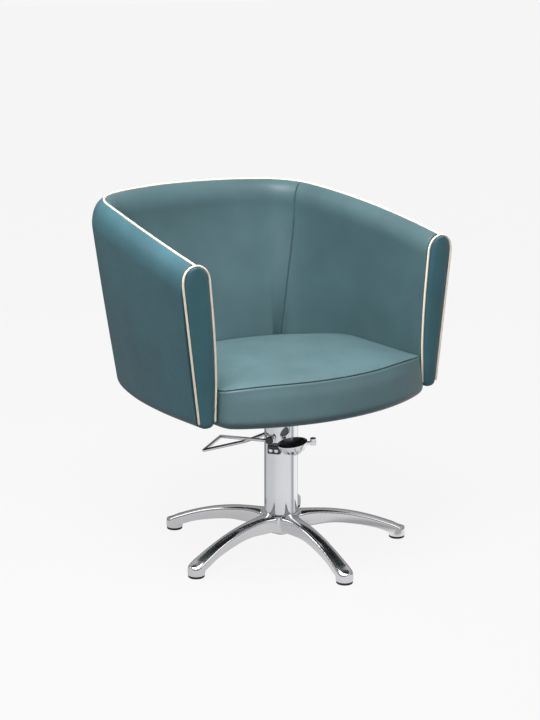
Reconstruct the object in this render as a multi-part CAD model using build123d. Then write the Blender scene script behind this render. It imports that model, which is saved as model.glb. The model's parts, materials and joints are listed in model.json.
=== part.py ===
from build123d import *
import math
import os

# Hydraulic styling chair: an upholstered tub seat on a pump column and a five-star base.
#
# Millimetres. Origin on the column axis at floor level, +Z up, the sitter faces -Y.
# Every sub-part is written to parts/NODE.step.

os.makedirs("parts", exist_ok=True)

# ---------------------------------------------------------------- driving dimensions
GAP = 0.4                 # air between soft parts and their neighbours
RUN = 0.05                # radial clearance of every running fit

# five-star base
LEG_COUNT = 5
FIRST_LEG = 264.1         # direction of the front leg, degrees
FOOT_CIRCLE_R = 260.0     # foot centres from the column axis
BOSS_R = 18.5
BOSS_BASE_Z = 4.0         # underside of each boss, resting on its glide
BOSS_TOP_Z = 21.0
HUB_R = 42.0
HUB_BASE_Z = 37.0
HUB_TOP_Z = 79.5

# pump column
COLUMN_R = 36.0
SLEEVE_WALL = 1.5
HEAD_BASE_Z = 212.0       # pump head band between the two sleeves
HEAD_TOP_Z = 256.0
COLUMN_TOP_Z = 322.0
CYLINDER_R = 22.5
CYLINDER_BORE_R = 19.0
CYLINDER_BASE_Z = 86.0
RAM_R = 17.0
RAM_BASE_Z = 112.0
RAM_TOP_Z = 324.0
SPINDLE_R = 12.0
SPINDLE_TOP_Z = 360.0

# pump lever, in its own frame: +X along the lever, pivots on +Y and -Y
LEVER_TURN = 127.2
PIVOT_X = 12.0
PIVOT_Z = 247.0
EYE_Y = 41.8
EYE_R = 8.0
EYE_WIDTH = 7.0
PIN_R = 4.0
CAP_R = 8.5
ROD_R = 3.5
PLUNGER_X = 28.5
PLUNGER_R = 4.0

# lock pedal, in its own frame: +X away from the column
LOCK_TURN = -108.3
DISH_X = 78.0
DISH_R = 32.0
DISH_Z = 252.0
DISH_LEAN = 9.0           # the dish leans towards the pump lever
LOCK_HINGE_X = 40.0
LOCK_HINGE_Z = 232.0
LOCK_PIN_Z = 222.0
KNOB_X = 80.0
KNOB_Y = 45.0

# seat carrier
PLATE_SIDE = 190.0
PLATE_Z = 344.0
PLATE_THICK = 6.0
BOARD_Z = 350.2
BOARD_THICK = 18.0
BOLT_PLACES = ((-72, -72), (-72, 72), (72, -72), (72, 72))

# tub: crest line of the wall, seen from above, one half
CREST_X = 307.7           # crest at the arm front
CREST_Y = -136.5
SIDE_LENGTH = 393.0
SIDE_R = 2000.0
CORNER_R = 126.0
CORNER_TURN = 55.5
SIDE_HEADING = 0.2        # degrees, towards the other arm
BACK_Y = 384.5            # crest at the middle of the back
CREST_Z = 673.0
PIPING_R = 2.9
TUB_BASE_Z = 342.0
ROLL_R = 16.0             # rolled lower edge of the outer shell
SHELL_THICK = 27.0
FRAME_THICK = 12.0
PAD_BASE_Z = 346.0
PAD_FOOT_Z = 400.0        # below this the pads drop straight down
SEAM_AT = 424.0           # side pads meet the back pad, along the crest

# arm fronts
ARM_FACE_Y = -151.0
ARM_BASE_Z = 343.0

# seat cushion
SEAT_FRONT_Y = -245.0
SEAT_SIDE_Y = -168.0      # where the rounded front meets the arms
SEAT_SIDE_X = 259.4
SEAT_BASE_Z = 338.0
SEAT_EDGE_Z = 404.0
CROWN_STEPS = ((6, 8), (26, 14), (70, 20))   # how far in, and how high above the edge

BACK_TURN = 90 - SIDE_HEADING - math.degrees(SIDE_LENGTH / SIDE_R) - CORNER_TURN


# ---------------------------------------------------------------- small helpers
def write(name, shape):
    """Write one node."""
    shape.label = name
    export_step(shape, f"parts/{name}.step")


def tube(outer, inner, z0, z1):
    """A ring about Z."""
    ring = Pos(0, 0, z0) * extrude(Circle(outer), z1 - z0)
    return ring - Pos(0, 0, z0 - 1) * extrude(Circle(inner), z1 - z0 + 2)


def rod(radius, z0, z1):
    """A round bar about Z."""
    return Pos(0, 0, z0) * extrude(Circle(radius), z1 - z0)


def block(x0, x1, y0, y1, z0, z1):
    """A box by its corners."""
    centre = Pos((x0 + x1) / 2, (y0 + y1) / 2, (z0 + z1) / 2)
    return centre * Box(x1 - x0, y1 - y0, z1 - z0)


def bar_y(radius, x, z, y0, y1):
    """A round bar along Y."""
    bar = Plane(origin=(x, y0, z), z_dir=(0, 1, 0)) * extrude(Circle(radius), y1 - y0)
    return bar


def wire_rod(points, radius):
    """A round rod along straight runs, with a ball at each bend."""
    shape = None
    for start, end in zip(points[:-1], points[1:]):
        run = Vector(*end) - Vector(*start)
        piece = Plane(origin=start, z_dir=run) * extrude(Circle(radius), run.length)
        shape = piece if shape is None else shape + piece
    for point in points[1:-1]:
        shape = shape + Pos(*point) * Sphere(radius)
    return shape


def about(angle, shape):
    """Turn a shape about the column axis."""
    return Rot(0, 0, angle) * shape


# ---------------------------------------------------------------- five-star base
# each row: distance from the axis, top, underside and half width of the leg
LEG_STATIONS = (
    (24, 79, 41, 25),
    (62, 79, 42, 16.5),
    (112, 75.5, 44.5, 15),
    (160, 66.5, 38, 15),
    (208, 52.5, 26, 15.6),
    (250, 36.5, 10, 17.6),
    (282, 22.5, 7, 19),
)


def leg_section(r, top, base, half):
    """D-shaped cross-section of a leg: flat sides and a crowned top."""
    shoulder = top - 0.42 * half - 1.5
    corner_a = (r, -half, base)
    corner_b = (r, half, base)
    side_a = (r, -half, shoulder)
    side_b = (r, half, shoulder)
    edges = [
        Edge.make_line(corner_a, corner_b),
        Edge.make_line(corner_b, side_b),
        Edge.make_three_point_arc(side_b, (r, 0, top), side_a),
        Edge.make_line(side_a, corner_a),
    ]
    return Face(Wire(edges))


def one_leg():
    """One arched leg with its foot boss, pointing along +X."""
    leg = loft([leg_section(*row) for row in LEG_STATIONS])
    tip = Pos(FOOT_CIRCLE_R, 0, 0) * extrude(Circle(BOSS_R), 120)
    inner = block(0, FOOT_CIRCLE_R, -60, 60, 0, 120)
    leg = leg & (tip + inner)
    boss = Pos(FOOT_CIRCLE_R, 0, BOSS_BASE_Z) * extrude(Circle(BOSS_R), BOSS_TOP_Z - BOSS_BASE_Z)
    leg = leg + (boss & leg_envelope())
    hole = Pos(FOOT_CIRCLE_R, 0, 0) * extrude(Circle(3.2), 18)
    return leg - hole


def leg_envelope():
    """Everything below the sloping top of a leg, so a boss never stands above it."""
    rows = [(r, top, 0, 40) for r, top, base, half in LEG_STATIONS]
    faces = []
    for r, top, base, half in rows:
        corners = [(r, -half, base), (r, half, base), (r, half, top - 3), (r, -half, top - 3)]
        faces.append(Face(Wire.make_polygon(corners)))
    return loft(faces)


def star_base():
    """Polished cast base: hub, five arched legs and five foot bosses."""
    leg = one_leg()
    star = rod(HUB_R, HUB_BASE_Z, HUB_TOP_Z)
    star = chamfer(star.edges().group_by(Axis.Z)[0], 5)
    for number in range(LEG_COUNT):
        star = star + about(FIRST_LEG + number * 360 / LEG_COUNT, leg)
    star = star - rod(15 + RUN, 0, 100)
    star = star - rod(30, 0, HUB_BASE_Z + 8)
    return star


def foot_place(number):
    """Centre of one foot, on the floor."""
    angle = math.radians(FIRST_LEG + number * 360 / LEG_COUNT)
    return Pos(FOOT_CIRCLE_R * math.cos(angle), FOOT_CIRCLE_R * math.sin(angle), 0)


def foot_pad():
    """Black glide with a counterbore for its screw."""
    pad = rod(17.2, 0, BOSS_BASE_Z)
    pad = chamfer(pad.edges().group_by(Axis.Z)[0], 1)
    pad = pad - rod(3.2, -1, 10)
    return pad - rod(6.5, -1, 2)


def foot_screw():
    """Pan-head screw that holds a glide."""
    return rod(6, 0.6, 2) + rod(3, 2, 16)


def base_nut():
    """Large hexagon nut under the hub."""
    nut = Pos(0, 0, 31) * extrude(RegularPolygon(24, 6), 11)
    return nut - rod(15, 0, 60)


# ---------------------------------------------------------------- pump column
def pump_cylinder():
    """Hydraulic cylinder with a closed floor and the threaded stub that clamps the base."""
    body = tube(CYLINDER_R, CYLINDER_BORE_R, CYLINDER_BASE_Z, 300)
    floor = rod(COLUMN_R - SLEEVE_WALL - 0.1, HUB_TOP_Z, CYLINDER_BASE_Z + 8)
    stub = rod(15, 28, HUB_TOP_Z)
    return body + floor + stub


def guide_bush():
    """Bronze bush that guides the ram at the top of the column."""
    return tube(COLUMN_R - SLEEVE_WALL, RAM_R + RUN, 300, 317)


def wiper_seal():
    """Black wiper ring above the guide bush."""
    return tube(COLUMN_R - SLEEVE_WALL, RAM_R + RUN, 317, COLUMN_TOP_Z - 0.5)


def sleeve(z0, z1):
    """One length of the chromed column cover."""
    return tube(COLUMN_R, COLUMN_R - SLEEVE_WALL, z0, z1)


def pump_head():
    """Cast head: band round the cylinder, lever lugs, plunger bore and pedal ears."""
    head = tube(COLUMN_R, CYLINDER_R, HEAD_BASE_Z, HEAD_TOP_Z)
    spigots = tube(COLUMN_R - SLEEVE_WALL, CYLINDER_R, HEAD_BASE_Z - 5, HEAD_TOP_Z + 5)
    lugs = block(4.5, 19.5, -38, 38, 239, 255) - rod(CYLINDER_R, 230, 260)
    pins = bar_y(PIN_R, PIVOT_X, PIVOT_Z, -60, 60) - rod(CYLINDER_R + 6, 230, 260)
    head = head + spigots + lugs - pins
    head = head - block(CYLINDER_R + 0.6, 50, -7, 7, 227.5, HEAD_TOP_Z + 6)
    head = head - Pos(PLUNGER_X, 0, 200) * extrude(Circle(PLUNGER_R + RUN), 40)
    head = about(LEVER_TURN, head)
    ears = block(30, 44, -9.4, 9.4, 227.5, 236.5) - block(20, 60, -5.4, 5.4, 200, 260)
    ears = ears - rod(CYLINDER_R + 3, 200, 260)
    pocket = block(30, 60, -5.4, 5.4, 215, 237.5)
    pin_hole = Plane(origin=(15, 0, LOCK_PIN_Z), z_dir=(1, 0, 0)) * extrude(Circle(3 + RUN), 20)
    hinge_hole = bar_y(2.5, LOCK_HINGE_X, LOCK_HINGE_Z, -20, 20)
    head = head + about(LOCK_TURN, ears)
    return head - about(LOCK_TURN, pocket + pin_hole + hinge_hole)


def ram():
    """Chromed piston rod with its bearing shoulder and top spindle."""
    shaft = rod(RAM_R, RAM_BASE_Z, RAM_TOP_Z)
    spindle = rod(SPINDLE_R, RAM_TOP_Z, SPINDLE_TOP_Z)
    piston = rod(CYLINDER_BORE_R - RUN, RAM_BASE_Z, RAM_BASE_Z + 14)
    groove = tube(CYLINDER_BORE_R + 1, CYLINDER_BORE_R - 2, RAM_BASE_Z + 5, RAM_BASE_Z + 9)
    return shaft + spindle + piston - groove


def piston_seal():
    """Rubber ring in the piston groove."""
    return tube(CYLINDER_BORE_R - RUN, CYLINDER_BORE_R - 2, RAM_BASE_Z + 5, RAM_BASE_Z + 9)


def thrust_bearing():
    """Thrust washer pair between the ram and the swivel hub."""
    return tube(26, SPINDLE_R, RAM_TOP_Z, RAM_TOP_Z + 4)


def spindle_nut():
    """Round nut that keeps the swivel hub on its spindle."""
    return tube(19, SPINDLE_R, 350.6, SPINDLE_TOP_Z)


# ---------------------------------------------------------------- pump lever
def pump_block():
    """Valve block bolted to the near side of the pump head."""
    body = block(-12, 17, 34, 48, 218, 237)
    body = fillet(body.edges().filter_by(Axis.Z).group_by(Axis.Y)[-1], 5)
    body = fillet(body.edges().group_by(Axis.Y)[-1], 2)
    return body - rod(COLUMN_R, 200, 260)


def block_screws():
    """Two button-head screws on the valve block."""
    screws = []
    for x in (-4, 8):
        head = bar_y(4.6, x, 227, 48, 51.5)
        screws.append(fillet(head.edges().group_by(Axis.Y)[-1], 2))
    return Compound(children=screws)


def pivot_screws():
    """Shoulder screws that carry the lever, one on each side."""
    outside = EYE_Y + EYE_WIDTH / 2 + 0.4
    shank = bar_y(PIN_R, PIVOT_X, PIVOT_Z, 31, outside)
    head = bar_y(CAP_R, PIVOT_X, PIVOT_Z, outside, outside + 3.2)
    near = shank + fillet(head.edges().group_by(Axis.Y)[-1], 1.5)
    shank = bar_y(PIN_R, PIVOT_X, PIVOT_Z, -outside, -31)
    head = bar_y(CAP_R, PIVOT_X, PIVOT_Z, -outside - 3.2, -outside)
    far = shank + fillet(head.edges().group_by(Axis.Y)[0], 1.5)
    return Compound(children=[near, far])


FOOT_BAR_X = 156.0
FOOT_BAR_HALF = 56.0
FOOT_BAR_Z = 215.5


def pump_lever():
    """Bent-rod foot lever: two pivot eyes, crossed rods and a foot bar."""
    near = [
        (PIVOT_X, EYE_Y, PIVOT_Z),
        (26, EYE_Y, 245.5),
        (FOOT_BAR_X, -FOOT_BAR_HALF, FOOT_BAR_Z),
        (FOOT_BAR_X, FOOT_BAR_HALF, FOOT_BAR_Z),
        (80, -1, 226.8),
        (26, -EYE_Y, 245.5),
        (PIVOT_X, -EYE_Y, PIVOT_Z),
    ]
    lever = wire_rod(near, ROD_R)
    for side in (-1, 1):
        y0 = side * EYE_Y - EYE_WIDTH / 2
        lever = lever + bar_y(EYE_R, PIVOT_X, PIVOT_Z, y0, y0 + EYE_WIDTH)
    finger = block(27.2, 41, -4, 4, 241, 246)
    lever = lever + finger + wire_rod([(39.5, 0, 244.2), (82, 0, 226.6)], 2.9)
    trim = block(0, 24, -EYE_Y + EYE_WIDTH / 2, EYE_Y - EYE_WIDTH / 2, 230, 260)
    lever = lever - trim
    for side in (-1, 1):
        outside = side * (EYE_Y + EYE_WIDTH / 2 + 2)
        lever = lever - block(0, 24, outside - 2, outside + 2, 230, 260)
    return lever - bar_y(PIN_R + RUN, PIVOT_X, PIVOT_Z, -60, 60)


def pump_plunger():
    """Hardened plunger that the lever pushes into the pump head."""
    pin = Pos(PLUNGER_X, 0, 0) * rod(PLUNGER_R, 213, 240)
    return fillet(pin.edges().group_by(Axis.Z)[-1], 2.5)


# ---------------------------------------------------------------- lock pedal
def dish_frame():
    """Frame at the centre of the dish rim, leaning with it."""
    return Pos(DISH_X, 0, DISH_Z) * Rot(DISH_LEAN, 1, 0)


def lock_pedal():
    """Chromed bowl-shaped pedal with its hinge barrel, locking tail and knob arm."""
    profile = Polyline((0, -25), (12, -24), (22, -17.5), (28.5, -9.5), (DISH_R, -1.5), (DISH_R, 1), (DISH_R - 2, 1),
                       (DISH_R - 2.6, -2), (0, -2), close=True)
    bowl = revolve(Plane.XZ * make_face(profile), Axis.Z)
    bowl = dish_frame() * bowl
    neck = block(LOCK_HINGE_X, DISH_X - 16, -5, 5, 227.8, 234.5)
    barrel = bar_y(4.2, LOCK_HINGE_X, LOCK_HINGE_Z, -5, 5)
    tail = block(37.2, 40, -4, 4, 219, 232)
    arm = block(KNOB_X - 5, KNOB_X + 5, 18, KNOB_Y, DISH_Z - 5, DISH_Z + 0)
    seat = Pos(KNOB_X, KNOB_Y, DISH_Z - 7) * extrude(Circle(7), 8)
    pedal = bowl + neck + barrel + tail + seat
    pedal = pedal + (arm - dish_frame() * rod(DISH_R - 3, -30, 30))
    return pedal - bar_y(2.5 + RUN, LOCK_HINGE_X, LOCK_HINGE_Z, -20, 20)


def dish_insert():
    """Glossy black insert filling the dish."""
    profile = Polyline((0, -1.8), (DISH_R - 2.8, -1.8), (DISH_R - 2.3, 0.6), (DISH_R - 5, 1.8),
                       (0, 2.6), close=True)
    return dish_frame() * revolve(Plane.XZ * make_face(profile), Axis.Z)


def lock_knob():
    """Short knob at the side of the dish."""
    knob = Pos(KNOB_X, KNOB_Y, DISH_Z + 1.2) * extrude(Circle(6.5), 7)
    return fillet(knob.edges().group_by(Axis.Z)[-1], 2)


def hinge_pin():
    """Pin of the lock pedal, fixed in the two ears of the head."""
    return bar_y(2.5, LOCK_HINGE_X, LOCK_HINGE_Z, -10, 10)


def lock_pin():
    """Small pin that the pedal tail pushes inwards."""
    return Plane(origin=(25.6, 0, LOCK_PIN_Z), z_dir=(1, 0, 0)) * extrude(Circle(3), 11)


# ---------------------------------------------------------------- seat carrier
def seat_plate():
    """Steel plate with the swivel hub that turns on the ram's spindle."""
    plate = Pos(0, 0, PLATE_Z) * extrude(RectangleRounded(PLATE_SIDE, PLATE_SIDE, 12), PLATE_THICK)
    hub = rod(31, RAM_TOP_Z + 4.2, PLATE_Z)
    plate = plate + hub - rod(SPINDLE_R + RUN, 300, 380)
    for x, y in BOLT_PLACES:
        plate = plate - Pos(x, y, 330) * extrude(Circle(4.3), 30)
    return plate


def plate_bolts():
    """Four bolts from the plate into the seat board."""
    bolt = rod(7, PLATE_Z - 4.2, PLATE_Z) + rod(4, PLATE_Z, BOARD_Z + 12)
    bolts = [Pos(x, y, 0) * bolt for x, y in BOLT_PLACES]
    return Compound(children=bolts)


# ---------------------------------------------------------------- tub geometry
def crest(distance):
    """Plan point and heading (degrees, from +Y towards -X) along the right half of the crest."""
    x, y, heading = CREST_X, CREST_Y, SIDE_HEADING
    runs = (
        (SIDE_R, math.degrees(SIDE_LENGTH / SIDE_R)),
        (CORNER_R, CORNER_TURN),
        (None, BACK_TURN),
    )
    for radius, turn in runs:
        if radius is None:
            radius = (x / math.sin(math.radians(turn)))
        length = math.radians(turn) * radius
        step = min(max(distance, 0), length)
        part = math.degrees(step / radius)
        a = math.radians(heading)
        b = math.radians(heading + part)
        x = x - radius * (math.cos(a) - math.cos(b))
        y = y + radius * (math.sin(b) - math.sin(a))
        heading = heading + part
        distance = distance - length
        if distance <= 0:
            break
    return x, y, heading


def half_length():
    """Length of half of the crest."""
    x, y, heading = crest(SIDE_LENGTH + CORNER_R * math.radians(CORNER_TURN))
    radius = x / math.sin(math.radians(BACK_TURN))
    return SIDE_LENGTH + CORNER_R * math.radians(CORNER_TURN) + radius * math.radians(BACK_TURN)


HALF = half_length()


def crest_height(y):
    """Height of the crest: it climbs from the arm fronts to the middle of the back."""
    s = (y - CREST_Y) / (BACK_Y - CREST_Y)
    return CREST_Z + 107 * s - 18.5 * s ** 2 - 14 * s ** 3


# along the crest (fraction of a half): outer face at the foot, inner face at the foot
FOOT_OFFSETS = (
    (0.00, -3, -44),
    (0.20, 4, -38),
    (0.37, 3, -35),
    (0.50, -6, -52),
    (0.64, -25, -88),
    (0.80, -17, -112),
    (1.00, -6, -122),
)


def foot_offset(fraction, column):
    """Smooth value between the rows of FOOT_OFFSETS."""
    for low, high in zip(FOOT_OFFSETS[:-1], FOOT_OFFSETS[1:]):
        if fraction <= high[0]:
            t = (fraction - low[0]) / (high[0] - low[0])
            t = t * t * (3 - 2 * t)
            return low[column] + (high[column] - low[column]) * t
    return FOOT_OFFSETS[-1][column]


def station(distance):
    """Plane across the wall (+X outwards, +Y up), crest height and foot offsets."""
    mirrored = distance > HALF
    along = 2 * HALF - distance if mirrored else distance
    x, y, heading = crest(along)
    a = math.radians(heading)
    normal = (math.cos(a), math.sin(a), 0)
    if mirrored:
        x = -x
        normal = (-normal[0], normal[1], 0)
    plane = Plane(origin=(x, y, 0), x_dir=normal, z_dir=(normal[1], -normal[0], 0))
    fraction = along / HALF
    return plane, crest_height(y), foot_offset(fraction, 1), foot_offset(fraction, 2)


def face_on(plane, edges):
    """Closed face on a station plane from lists of local points: 2 a line, 4 a curve."""
    made = []
    for points in edges:
        world = [plane.from_local_coords((n, z, 0)) for n, z in points]
        if len(world) == 2:
            made.append(Edge.make_line(*world))
        else:
            made.append(Edge.make_bezier(*world))
    return Face(Wire(made))


def shell_section(distance):
    """Outer cover of the wall: top roll, leaning face and rolled lower edge."""
    plane, top, outer, inner = station(distance)
    crown = top - PIPING_R - GAP
    wide = 27.5
    drop = 52
    back = outer - SHELL_THICK
    edges = [
        [(GAP, crown), (wide * 0.75, crown), (wide, crown - drop * 0.5), (wide, crown - drop)],
        [(wide, crown - drop), (outer, TUB_BASE_Z + ROLL_R)],
        [(outer, TUB_BASE_Z + ROLL_R), (outer - 1, TUB_BASE_Z + ROLL_R * 0.4),
         (outer - ROLL_R * 0.6, TUB_BASE_Z), (outer - ROLL_R, TUB_BASE_Z)],
        [(outer - ROLL_R, TUB_BASE_Z), (back, TUB_BASE_Z + 1)],
        [(back, TUB_BASE_Z + 1), (GAP, crown - 40)],
        [(GAP, crown - 40), (GAP, crown)],
    ]
    return face_on(plane, edges)


def frame_section(distance):
    """Moulded frame inside the wall."""
    plane, top, outer, inner = station(distance)
    high = top - 46
    foot = outer - SHELL_THICK - GAP
    edges = [
        [(-0.2, high), (foot, PAD_BASE_Z)],
        [(foot, PAD_BASE_Z), (foot - FRAME_THICK, PAD_BASE_Z)],
        [(foot - FRAME_THICK, PAD_BASE_Z), (-0.2 - FRAME_THICK, high)],
        [(-0.2 - FRAME_THICK, high), (-0.2, high)],
    ]
    return face_on(plane, edges)


def pad_section(distance):
    """Inner pad of the wall: top roll and inner face."""
    plane, top, outer, inner = station(distance)
    crown = top - PIPING_R - GAP
    wide = -31
    drop = 48
    back_foot = min(outer - SHELL_THICK - FRAME_THICK - 2 * GAP, inner + 40)
    edges = [
        [(-GAP, crown), (wide * 0.75, crown), (wide, crown - drop * 0.5), (wide, crown - drop)],
        [(wide, crown - drop), (inner, PAD_FOOT_Z)],
        [(inner, PAD_FOOT_Z), (inner, PAD_BASE_Z)],
        [(inner, PAD_BASE_Z), (back_foot, PAD_BASE_Z)],
        [(back_foot, PAD_BASE_Z), (-FRAME_THICK - 0.8, top - 44)],
        [(-FRAME_THICK - 0.8, top - 44), (-GAP, top - 42)],
        [(-GAP, top - 42), (-GAP, crown)],
    ]
    return face_on(plane, edges)


def distances(start, end):
    """Station distances from start to end: close together round the corners."""
    half = [0, 90, 180, 265, 330, 375, 410, 440, 470, 500, 535, 590, 650, HALF]
    every = half + [2 * HALF - d for d in reversed(half[:-1])]
    inside = [d for d in every if start + 12 < d < end - 12]
    return [start] + inside + [end]


def wall(section, start, end):
    """Solid wall through the sections between two places on the crest."""
    return loft([section(d) for d in distances(start, end)], ruled=True)


def rim_piping():
    """Piping along the crest, from arm front to arm front."""
    rings = []
    for d in distances(0, 2 * HALF):
        plane, top, outer, inner = station(d)
        before = crest_point(d - 1)
        after = crest_point(d + 1)
        ring = Plane(origin=crest_point(d), x_dir=plane.x_dir, z_dir=after - before)
        rings.append(ring * Circle(PIPING_R))
    return loft(rings, ruled=True)


def crest_point(distance):
    """Point of the crest line at its height."""
    plane, top, outer, inner = station(distance)
    return plane.from_local_coords((0, top, 0))


# ---------------------------------------------------------------- arm fronts
def arm_outline(inset):
    """Edges of an arm front in X and Z, open at the foot: outer side, top loop, inner side."""
    foot_out = (303.5 - inset, ARM_BASE_Z + 12)
    wide_out = (336.2 - inset, 630)
    apex = (308.0, 669.5 - inset)
    wide_in = (275.9 + inset, 634)
    waist_in = (263.8 + inset, 430)
    foot_in = (266.5 + inset, ARM_BASE_Z + 12)
    return foot_out, wide_out, apex, wide_in, waist_in, foot_in


def arm_edges(inset, y):
    """The outline as edges in the plane of the arm front."""
    foot_out, wide_out, apex, wide_in, waist_in, foot_in = arm_outline(inset)

    def at(point):
        return Vector(point[0], y, point[1])

    crown_out = Edge.make_bezier(at(wide_out), at((wide_out[0] + 2.5, 656)),
                                 at((apex[0] + 17, apex[1])), at(apex))
    crown_in = Edge.make_bezier(at(apex), at((apex[0] - 17, apex[1])),
                                at((wide_in[0] + 0.5, 656)), at(wide_in))
    inner = Edge.make_bezier(at(wide_in), at((wide_in[0] - 7, 560)),
                             at((waist_in[0], 500)), at(waist_in))
    return [
        Edge.make_line(at(foot_out), at(wide_out)),
        crown_out,
        crown_in,
        inner,
        Edge.make_line(at(waist_in), at(foot_in)),
    ]


def arm_front():
    """Upholstered panel that closes the front of the right arm."""
    edges = arm_edges(2.8, CREST_Y - GAP)
    out = edges[0] @ 0
    inn = edges[-1] @ 1
    low = Vector((out.X + inn.X) / 2, out.Y, ARM_BASE_Z)
    edges.append(Edge.make_bezier(inn, Vector(inn.X + 1, inn.Y, low.Z + 1),
                                  Vector(low.X - 8, low.Y, low.Z), low))
    edges.append(Edge.make_bezier(low, Vector(low.X + 8, low.Y, low.Z),
                                  Vector(out.X - 1, out.Y, low.Z + 1), out))
    depth = (CREST_Y - GAP) - ARM_FACE_Y
    panel = extrude(Face(Wire(edges)), depth, dir=(0, -1, 0))
    return fillet(panel.edges().group_by(Axis.Y)[0], 2)


def arm_piping():
    """Piping round the front of the right arm, open at the foot."""
    wire = Wire(arm_edges(-0.9, ARM_FACE_Y + 4))
    start = Plane(origin=wire @ 0, z_dir=wire % 0)
    return sweep(start * Circle(PIPING_R - 0.2), path=wire)


# ---------------------------------------------------------------- seat
def seat_outline():
    """Plan of the seat: rounded front, straight sides, back following the inner pads."""
    side = []
    for distance in distances(90, HALF):
        plane, top, outer, inner = station(distance)
        point = plane.from_local_coords((inner - 1.2, 0, 0))
        side.append((min(point.X, SEAT_SIDE_X), point.Y))
    right = [(SEAT_SIDE_X, SEAT_SIDE_Y)] + side
    ring = right + [(-x, y) for x, y in reversed(right[:-1])]
    points = [Vector(x, y, 0) for x, y in ring]
    edges = [Edge.make_line(a, b) for a, b in zip(points[:-1], points[1:])]
    front = Edge.make_three_point_arc(points[-1], Vector(0, SEAT_FRONT_Y, 0), points[0])
    return Face(Wire(edges + [front]))


def seat_layer(inset, z, thick):
    """A slice of the seat, its outline drawn in by inset."""
    outline = seat_outline()
    if inset > 0:
        outline = offset(outline, amount=-inset)
    return Pos(0, 0, z) * extrude(outline, thick)


def seat_board():
    """Plywood seat board with a clearance hole for the spindle nut."""
    board = seat_layer(24, BOARD_Z, BOARD_THICK) - rod(30, 300, 400)
    for x, y in BOLT_PLACES:
        board = board - Pos(x, y, BOARD_Z - 1) * extrude(Circle(4), 14)
    return board


def seat_cushion():
    """Seat cushion: border down over the board, stepped crown on top."""
    cushion = seat_layer(0, SEAT_BASE_Z, SEAT_EDGE_Z - SEAT_BASE_Z)
    for inset, rise in CROWN_STEPS:
        cushion = cushion + seat_layer(inset, SEAT_EDGE_Z, rise)
    room = seat_layer(23, SEAT_BASE_Z - 1, BOARD_Z + BOARD_THICK + GAP + 1 - SEAT_BASE_Z)
    return cushion - room


def dust_cover():
    """Black cloth panel under the board, cut out round the steel plate."""
    cover = seat_layer(26, BOARD_Z - 2.2, 2)
    side = PLATE_SIDE + 4
    return cover - Pos(0, 0, 300) * extrude(Rectangle(side, side), 100)


# ---------------------------------------------------------------- write every node
def main():
    """Build and write every node."""
    write("star_base", star_base())
    write("base_nut", base_nut())
    for number in range(LEG_COUNT):
        write(f"foot_pad_{number + 1}", foot_place(number) * foot_pad())
    write("foot_screws", Compound(children=[foot_place(n) * foot_screw() for n in range(LEG_COUNT)]))

    write("pump_cylinder", pump_cylinder())
    write("lower_sleeve", sleeve(HUB_TOP_Z, HEAD_BASE_Z))
    write("upper_sleeve", sleeve(HEAD_TOP_Z, COLUMN_TOP_Z))
    write("pump_head", pump_head())
    write("guide_bush", guide_bush())
    write("wiper_seal", wiper_seal())
    write("pump_block", about(LEVER_TURN, pump_block()))
    write("block_screws", about(LEVER_TURN, block_screws()))
    write("pivot_screws", about(LEVER_TURN, pivot_screws()))
    write("hinge_pin", about(LOCK_TURN, hinge_pin()))

    write("ram", ram())
    write("piston_seal", piston_seal())
    write("thrust_bearing", thrust_bearing())
    write("spindle_nut", spindle_nut())

    write("pump_lever", about(LEVER_TURN, pump_lever()))
    write("pump_plunger", about(LEVER_TURN, pump_plunger()))

    write("lock_pedal", about(LOCK_TURN, lock_pedal()))
    write("dish_insert", about(LOCK_TURN, dish_insert()))
    write("lock_knob", about(LOCK_TURN, lock_knob()))
    write("lock_pin", about(LOCK_TURN, lock_pin()))

    write("seat_plate", seat_plate())
    write("plate_bolts", plate_bolts())
    write("seat_board", seat_board())
    write("dust_cover", dust_cover())
    write("seat_cushion", seat_cushion())

    write("outer_shell", wall(shell_section, 0, 2 * HALF))
    write("tub_frame", wall(frame_section, 6, 2 * HALF - 6))
    write("arm_pad_right", wall(pad_section, 0, SEAM_AT - GAP))
    write("arm_pad_left", wall(pad_section, 2 * HALF - SEAM_AT + GAP, 2 * HALF))
    write("back_pad", wall(pad_section, SEAM_AT, 2 * HALF - SEAM_AT))
    write("rim_piping", rim_piping())
    write("arm_front_right", arm_front())
    write("arm_front_left", mirror(arm_front(), Plane.YZ))
    write("arm_piping_right", arm_piping())
    write("arm_piping_left", mirror(arm_piping(), Plane.YZ))


main()
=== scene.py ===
import json
import math

import bmesh
import bpy
import numpy as np
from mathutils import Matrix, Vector


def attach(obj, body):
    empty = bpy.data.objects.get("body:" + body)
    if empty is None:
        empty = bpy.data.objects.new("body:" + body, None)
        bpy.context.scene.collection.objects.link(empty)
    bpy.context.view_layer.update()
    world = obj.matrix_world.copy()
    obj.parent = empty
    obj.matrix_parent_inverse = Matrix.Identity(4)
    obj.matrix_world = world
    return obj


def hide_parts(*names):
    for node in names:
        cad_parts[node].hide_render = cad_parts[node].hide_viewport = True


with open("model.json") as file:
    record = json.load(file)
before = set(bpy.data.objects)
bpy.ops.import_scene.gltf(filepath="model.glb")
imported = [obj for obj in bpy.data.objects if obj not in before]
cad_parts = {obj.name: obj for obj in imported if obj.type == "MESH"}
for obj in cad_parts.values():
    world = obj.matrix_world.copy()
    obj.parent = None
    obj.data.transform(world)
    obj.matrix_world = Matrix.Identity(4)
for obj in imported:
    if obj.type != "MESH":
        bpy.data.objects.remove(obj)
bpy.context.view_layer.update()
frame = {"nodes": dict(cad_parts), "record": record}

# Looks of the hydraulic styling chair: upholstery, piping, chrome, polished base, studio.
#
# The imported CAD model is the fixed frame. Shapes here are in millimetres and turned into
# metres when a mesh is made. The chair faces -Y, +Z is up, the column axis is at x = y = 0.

NODES = frame["nodes"]
MM = 0.001

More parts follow.
